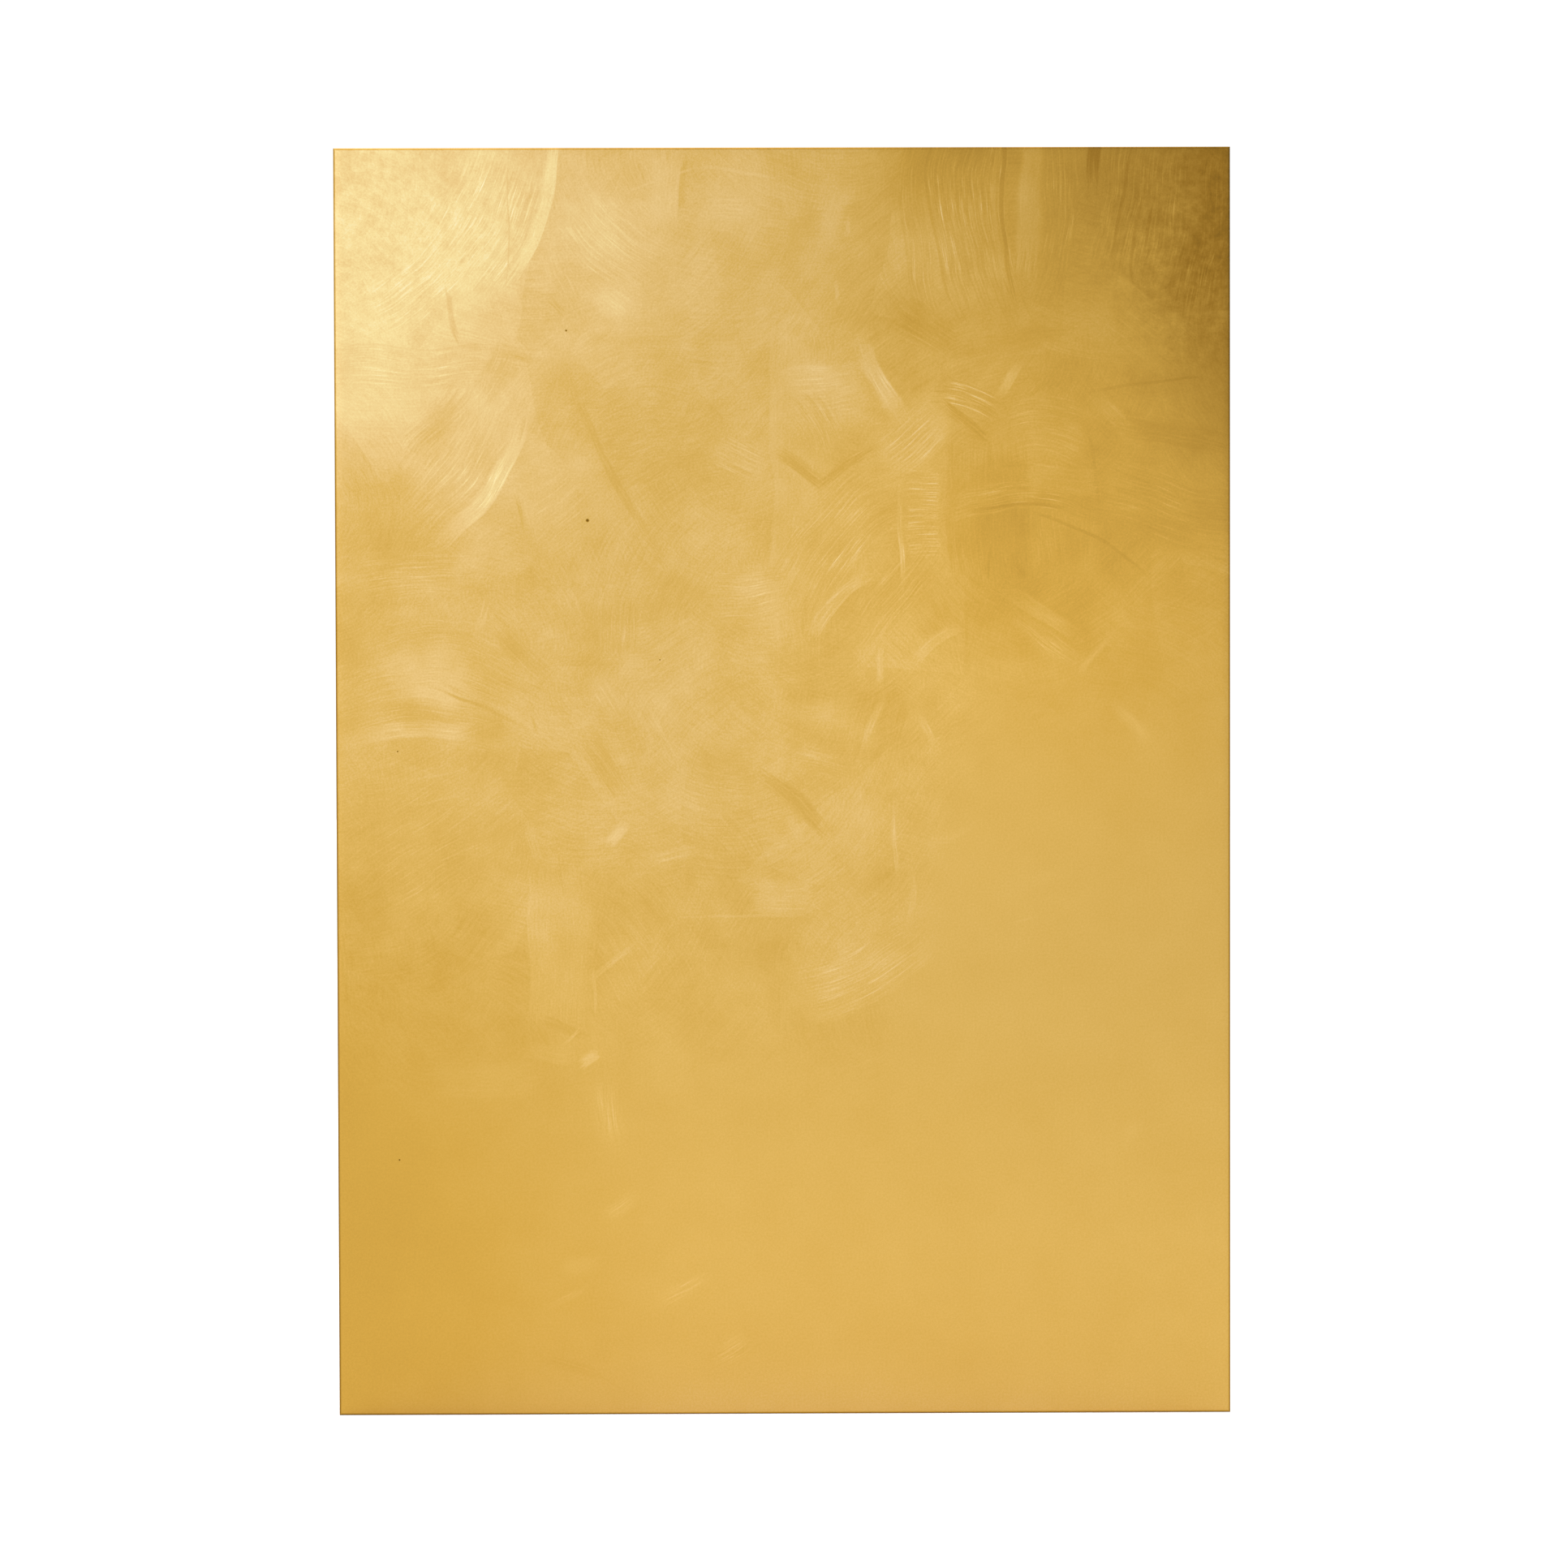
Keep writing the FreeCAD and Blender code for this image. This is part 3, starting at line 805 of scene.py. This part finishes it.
def make_sheet():
    """The brass sheet: a grid for the front with rounded edges, a grid for the back, and their rim."""
    low, high = SHEET_LOW, SHEET_HIGH
    xs, zs = sheet_places(low.x, high.x), sheet_places(low.z, high.z)
    columns, rows = len(xs), len(zs)
    gap_x = np.minimum(xs - low.x, high.x - xs)
    gap_z = np.minimum(zs - low.z, high.z - zs)
    front, back = [], []
    for z, room_z in zip(zs, gap_z):
        for x, room_x in zip(xs, gap_x):
            room = min(room_x, room_z)
            settle = min(room / WAVE_MARGIN, 1.0)
            front.append((x, low.y + float(edge_fall(room)) + settle * hand_wave(x, z), z))
            back.append((x, high.y, z))
    count = len(front)
    faces = quads(point_grid(rows, columns), False)
    for here, there in rim_steps(rows, columns):
        faces.append((there, here, here + count, there + count))
    slots = [tile_number(front[face[0] % count], front[face[-2] % count]) for face in faces]
    faces += quads(point_grid(rows, columns, count), True)
    slots += [TILES_ACROSS * TILES_UP] * (len(faces) - len(slots))
    sheet = mesh_piece("rubbed_sheet", front + back, faces, slots)
    adopt(sheet, "brass_plate", [*make_front_brass(), make_back_brass()])
    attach(sheet, "plate")


# --- Strips: foam tapes and their liners ---

RIPPLE_SIZE = 40.0 * MM
RIPPLE_SEED = 5.37        # how far apart the numbered ripples lie in the noise


class Run:
    """The place of one strip: its long way, its way across, and its ends, from the CAD node's box."""

    def __init__(self, node):
        low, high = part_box(node)
        self.upright = high.z - low.z > high.x - low.x
        self.near, self.far = low.y, high.y
        self.start, self.end = (low.z, high.z) if self.upright else (low.x, high.x)
        side_low, side_high = (low.x, high.x) if self.upright else (low.z, high.z)
        self.middle = (side_low + side_high) / 2
        self.half = (side_high - side_low) / 2

    def point(self, along, across, depth):
        """A point so far along the strip, across it from its middle line, and at depth y."""
        side = self.middle + across
        return (side, depth, along) if self.upright else (along, depth, side)

    def depth(self, level):
        """The depth y of a level between the near face, 0, and the far face, 1."""
        return self.near + (self.far - self.near) * level


def ripple(number, along, across):
    """Smooth unevenness between about -1 and 1, different for each number."""
    return noise.noise(Vector((along / RIPPLE_SIZE, across / RIPPLE_SIZE, number * RIPPLE_SEED)))


def loop_faces(rings, ring_size, flip):
    """Faces between rings of points, and one to close each end."""
    loops = point_grid(rings, ring_size)
    first, last = loops[0], loops[-1]
    faces = quads([loop + loop[:1] for loop in loops], flip)
    return faces + ([first, last[::-1]] if flip else [first[::-1], last])


FOAM_BULGE = 0.28 * MM    # how far the middle of a side stands out past its rims
FOAM_CUT = 0.18 * MM      # how far the cut of a side wanders
FOAM_TRIM = 0.4 * MM      # how far the ends are cut out of square
FOAM_PITCH = 6.0 * MM
FOAM_LEVELS = [0.0, 0.25, 0.5, 0.75, 1.0]      # from the near face to the far one
FOAM_SHARES = [-0.66, -0.33, 0.0, 0.33, 0.66]  # of the half width, across a face
OTHER_SIDE = 20           # added to a strip's number for the ripple of its other side


def foam_side(run, number, along):
    """The points up one side of a tape, as (across, depth): the side bulges, and its cut wanders."""
    rim = run.half - FOAM_CUT * (1 + ripple(number, along, 0.0)) / 2
    return [(rim - FOAM_BULGE * (2 * level - 1) ** 2, run.depth(level)) for level in FOAM_LEVELS]


def make_tape(number, name, material):
    """A strip of foam tape: hand-cut ends, sides that bulge where the foam is squeezed, wavy edges."""
    run = Run(f"tape_{name}")
    stations = np.linspace(run.start, run.end, round((run.end - run.start) / FOAM_PITCH) + 1)
    trims = [FOAM_TRIM] + [0.0] * (len(stations) - 2) + [-FOAM_TRIM]
    points = []
    for along, inward in zip(stations, trims):
        for share in FOAM_SHARES:
            points.append(run.point(along + inward * (1 + share), share * run.half, run.near))
        for across, depth in foam_side(run, number + OTHER_SIDE, along):
            points.append(run.point(along + inward * 2, across, depth))
        for share in reversed(FOAM_SHARES):
            points.append(run.point(along + inward * (1 + share), share * run.half, run.far))
        for across, depth in reversed(foam_side(run, number, along)):
            points.append(run.point(along, -across, depth))
    ring_size = 2 * (len(FOAM_SHARES) + len(FOAM_LEVELS))
    faces = loop_faces(len(stations), ring_size, run.upright)
    tape = mesh_piece(f"foam_{name}", points, faces)
    adopt(tape, f"tape_{name}", [material])
    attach(tape, "plate")


LINER_PITCH = 4.0 * MM
LINER_ACROSS = 12         # faces across a liner
LINER_LIFT = 0.35 * MM    # how far the loose edges lift
LINER_LEVEL = 0.6         # the lift's even part, with the ripple's as 1
TAB_PITCH = 0.5 * MM
TAB_ROUND = 5.0 * MM
TAB_CURL = 3.2 * MM       # how far the end of the tab lifts
TAB_TWIST = 0.5           # how unevenly it does so from side to side
TAB_FREE = 0.25           # the share of the tab over which the film comes loose
TWIST_NUMBER = 40         # added to a strip's number for the ripple that twists its tab


def liner_stations(run, tape_end):
    """Places along a liner: even over the tape, close together at the round end of its tab."""
    plain = np.linspace(run.start, tape_end, round((tape_end - run.start) / LINER_PITCH) + 1)
    tab = np.linspace(tape_end, run.end, round((run.end - tape_end) / TAB_PITCH) + 1)
    return np.concatenate([plain, tab[1:]])


def tab_half_width(run, along):
    """Half the liner's width, which narrows round the corners of the tab."""
    past = along - (run.end - TAB_ROUND)
    if past <= 0:
        return run.half
    return run.half - TAB_ROUND + math.sqrt(max(TAB_ROUND**2 - past**2, 0.0))


def make_liner(number, name, material):
    """A release liner: thin film, flat over the tape, with edges that lift a little and a curled tab."""
    run = Run(f"liner_{name}")
    tape = Run(f"tape_{name}")
    stations = liner_stations(run, tape.end)
    outer, under, over_tape = [], [], []
    for along in stations:
        half = tab_half_width(run, along)
        tab_share = max(along - tape.end, 0.0) / (run.end - tape.end)
        for step in range(LINER_ACROSS + 1):
            share = 2 * step / LINER_ACROSS - 1
            across = share * half
            past_tape = max(abs(across) - tape.half, 0.0) / (run.half - tape.half)
            end_gap = max(tape.start - along, 0.0) / (tape.start - run.start)
            loose = max(past_tape, end_gap, min(tab_share / TAB_FREE, 1.0))
            lift = LINER_LIFT * loose * (LINER_LEVEL + ripple(number, along, across))
            twist = TAB_TWIST * ripple(number + TWIST_NUMBER, 0.0, 0.0) * share
            lift += TAB_CURL * tab_share**2 * (1 + twist)
            outer.append(run.point(along, across, run.far + max(lift, 0.0)))
            under.append(run.point(along, across, run.near + max(lift, 0.0)))
            over_tape.append(1.0 - loose)
    columns, rows = LINER_ACROSS + 1, len(stations)
    count = len(outer)
    faces = quads(point_grid(rows, columns), run.upright)
    faces += quads(point_grid(rows, columns, count), not run.upright)
    for here, there in rim_steps(rows, columns):
        quad = (here, there, there + count, here + count)
        faces.append(quad[::-1] if run.upright else quad)
    liner = mesh_piece(f"film_{name}", outer + under, faces)
    stuck = liner.data.attributes.new("over_tape", "FLOAT", "POINT")
    stuck.data.foreach_set("value", over_tape * 2)
    adopt(liner, f"liner_{name}", [material])
    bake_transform(liner)


# Looks of foam and film. Clouds are size in mm, detail and roughness; bumps are depth and strength.
FOAM_STOPS = [(0.0, (0.020, 0.020, 0.020)), (0.09, (0.052, 0.053, 0.056))]
STICKY = (0.6, 0.9)       # how square on to the front or back a face is, from where it is adhesive
FOAM_CELLS = 4.0          # cells for each millimetre
FOAM_WRINKLES = (7.0, 3.0, 0.6)
FOAM_SHADES = (0.05, 0.03)     # how much the height lightens it, a painted shade in the pits and hollows, and how much the broad cloud does
FOAM_BROAD = 60.0         # mm
FOAM_ROUGHNESS = (0.85, 0.34)  # of the cut sides and of the adhesive
FOAM_BUMP = (0.12 * MM, 0.7)
FILM_LYING = [(0.30, 0.008, 0.008, 1.0), (0.43, 0.020, 0.016, 1.0)]
FILM_LOOSE = [(0.56, 0.034, 0.024, 1.0), (0.68, 0.062, 0.042, 1.0)]
WEAVE = 2.4               # radians of the film's embossing for each millimetre
WEAVE_SHARE = 0.03        # how deep the embossing is next to the creases
CREASES = (18.0, 4.0, 0.6)
SCUFFS = (3.0, 3.0, 0.6)
FILM_ROUGHNESS = (0.22, 0.20)  # how much a full scuff adds, and where there is no scuff
FILM_BUMP = (0.5 * MM, 0.5)
FILM_COAT, FILM_COAT_ROUGHNESS = 0.12, 0.18


def make_foam():
    """Dark closed-cell foam: open cells on the cut sides, tacky and shiny on both adhesive faces."""
    material, tree, surface = new_material("foam")
    spot = object_millimetres(tree)
    _, facing, _ = split(tree, face_normal(tree))
    sticky = smooth(tree, calc(tree, "ABSOLUTE", facing), *STICKY)
    cells = put(tree, "ShaderNodeTexVoronoi", {"Vector": spot, "Scale": FOAM_CELLS}).outputs["Distance"]
    wrinkles = cloud(tree, spot, *FOAM_WRINKLES)
    height = blend(tree, "FLOAT", sticky, cells, wrinkles)
    # Painted shade: the lower parts, the pits of the cells and the hollows of the wrinkles, are darker.
    height_shade, broad_shade = FOAM_SHADES
    broad = times(tree, cloud(tree, spot, FOAM_BROAD), broad_shade)
    colour = colour_ramp(tree, calc(tree, "MULTIPLY_ADD", height, height_shade, broad), FOAM_STOPS)
    roughness = blend(tree, "FLOAT", sticky, *FOAM_ROUGHNESS)
    feed_all(tree, surface, {"Base Color": colour, "Roughness": roughness})
    add_bump(tree, surface, height, *FOAM_BUMP)
    return material


def make_film():
    """Red release film: embossed with a fine diamond weave, paler where no dark tape lies under it."""
    material, tree, surface = new_material("film")
    spot = object_millimetres(tree)
    over_tape = put(tree, "ShaderNodeAttribute", attribute_name="over_tape").outputs["Fac"]
    x, _, z = split(tree, spot)
    rising = calc(tree, "SINE", times(tree, calc(tree, "ADD", x, z), WEAVE))
    falling = calc(tree, "SINE", times(tree, calc(tree, "SUBTRACT", x, z), WEAVE))
    weave = times(tree, rising, falling)
    creases = cloud(tree, spot, *CREASES)
    scuffs = cloud(tree, spot, *SCUFFS)
    lying = blend(tree, "RGBA", creases, *FILM_LYING)
    loose = blend(tree, "RGBA", creases, *FILM_LOOSE)
    colour = blend(tree, "RGBA", over_tape, loose, lying)
    roughness = calc(tree, "MULTIPLY_ADD", scuffs, *FILM_ROUGHNESS)
    feed_all(tree, surface, {"Base Color": colour, "Roughness": roughness})
    feed_all(tree, surface, {"Coat Weight": FILM_COAT, "Coat Roughness": FILM_COAT_ROUGHNESS})
    add_bump(tree, surface, calc(tree, "MULTIPLY_ADD", weave, WEAVE_SHARE, creases), *FILM_BUMP)
    return material


def make_strips():
    """Every tape and its liner."""
    foam, film = make_foam(), make_film()
    for number, name in enumerate(STRIP_NAMES, start=1):
        make_tape(number, name, foam)
        make_liner(number, name, film)


# --- Studio ---

WHITE = (1.0, 1.0, 1.0, 1.0)
ROOM_LEVEL = 1.0
BACKDROP_LEVEL = 1.1      # how bright the room looks to the camera

# Lit and dark parts of the room: which way, how many degrees wide across the half width, how much lighter.
ROOM_PARTS = [
    ((-0.25, -1.0, 0.30), 24.0, 0.25),
    ((0.42, -1.0, 0.42), 34.0, -0.55),
    ((-0.5, 1.0, 0.6), 42.0, 0.30),
    ((0.55, 1.0, 0.1), 50.0, -0.60),
]
LAMP_PLACE = (0.0, -0.5, 3.2)
LAMP_SIZE = 3.0
LAMP_WATTS = 60.0
FLOOR_TONES = [(0.86, 0.86, 0.86, 1.0), (0.90, 0.90, 0.90, 1.0)]
FLOOR_CLOUD = (0.6, 3.0)  # size in m, detail
FLOOR_RADIUS = 14.0
FLOOR_GAP = 0.2 * MM
FLOOR_LIFT = 0.45         # how much brighter the floor looks to the camera than it is, to make it white
LENS = 85.0               # mm
CAMERA_AZIMUTH = -0.273   # degrees to the right of square on
CAMERA_ELEVATION = 1.157  # degrees above level
CAMERA_ROLL = 0.158       # degrees clockwise, as seen from behind the camera
CAMERA_DISTANCE = 2.5257
CAMERA_AIM = Vector((0.0, 0.0, -0.0009))  # from the middle of the sheet


def make_floor():
    """A plain white floor that the plate stands on."""
    low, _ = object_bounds()
    bpy.ops.mesh.primitive_circle_add(vertices=96, radius=FLOOR_RADIUS, fill_type="NGON")
    floor = bpy.context.object
    floor.name = "floor"
    floor.location = (0.0, 0.0, low.z - FLOOR_GAP)
    material, tree, surface = new_material("floor")
    colour = blend(tree, "RGBA", cloud(tree, object_place(tree), *FLOOR_CLOUD), *FLOOR_TONES)
    to_camera = put(tree, "ShaderNodeLightPath").outputs["Is Camera Ray"]
    feed_all(tree, surface, {"Base Color": colour, "Roughness": 0.9, "Specular IOR Level": 0.1})
    glow_strength = times(tree, to_camera, FLOOR_LIFT)
    feed_all(tree, surface, {"Emission Color": WHITE, "Emission Strength": glow_strength})
    floor.data.materials.append(material)


def sky_spot(tree, way, direction, wide, tone):
    """A soft round patch of the surroundings about a direction, wide degrees across its half width."""
    near = vector_calc(tree, "DOT_PRODUCT", way, tuple(Vector(direction).normalized()))
    return smooth(tree, near, math.cos(math.radians(wide)), 1.0, 0.0, tone)


def make_surroundings():
    """White to the camera. What the brass mirrors is a white room with lit and dark parts on both sides."""
    world = bpy.data.worlds.new("studio")
    world.use_nodes = True
    tree = world.node_tree
    way = put(tree, "ShaderNodeTexCoord").outputs["Generated"]
    parts = [sky_spot(tree, way, *values) for values in ROOM_PARTS]
    level = total(tree, [*parts, ROOM_LEVEL])
    to_camera = put(tree, "ShaderNodeLightPath").outputs["Is Camera Ray"]
    strength = blend(tree, "FLOAT", to_camera, level, BACKDROP_LEVEL)
    feed_all(tree, tree.nodes["Background"].inputs, {"Color": WHITE, "Strength": strength})
    bpy.context.scene.world = world


def make_lamp():
    """A soft square lamp above the front, pointing at the middle of the plate."""
    lamp = bpy.data.lights.new("ceiling_lamp", "AREA")
    lamp.size = LAMP_SIZE
    lamp.energy = LAMP_WATTS
    made = add_object("ceiling_lamp", lamp)
    made.location = LAMP_PLACE
    made.rotation_euler = (-made.location).to_track_quat("-Z", "Y").to_euler()


def make_camera():
    """A long lens almost square on to the plate, turned a touch as in a hand-levelled shot."""
    azimuth, elevation = math.radians(CAMERA_AZIMUTH), math.radians(CAMERA_ELEVATION)
    flat = math.cos(elevation)
    back = Vector((math.sin(azimuth) * flat, -math.cos(azimuth) * flat, math.sin(elevation)))
    camera = bpy.data.cameras.new("camera")
    camera.lens = LENS
    made = add_object("camera", camera)
    aim = (SHEET_LOW + SHEET_HIGH) / 2 + CAMERA_AIM
    made.location = aim + back * CAMERA_DISTANCE
    turn = (-back).to_track_quat("-Z", "Y").to_matrix().to_4x4()
    roll = Matrix.Rotation(math.radians(-CAMERA_ROLL), 4, "Z")
    made.rotation_euler = (turn @ roll).to_euler()
    bpy.context.scene.camera = made


make_sheet()
make_strips()
make_floor()
make_surroundings()
make_lamp()
make_camera()
bpy.context.scene.view_settings.view_transform = "Standard"
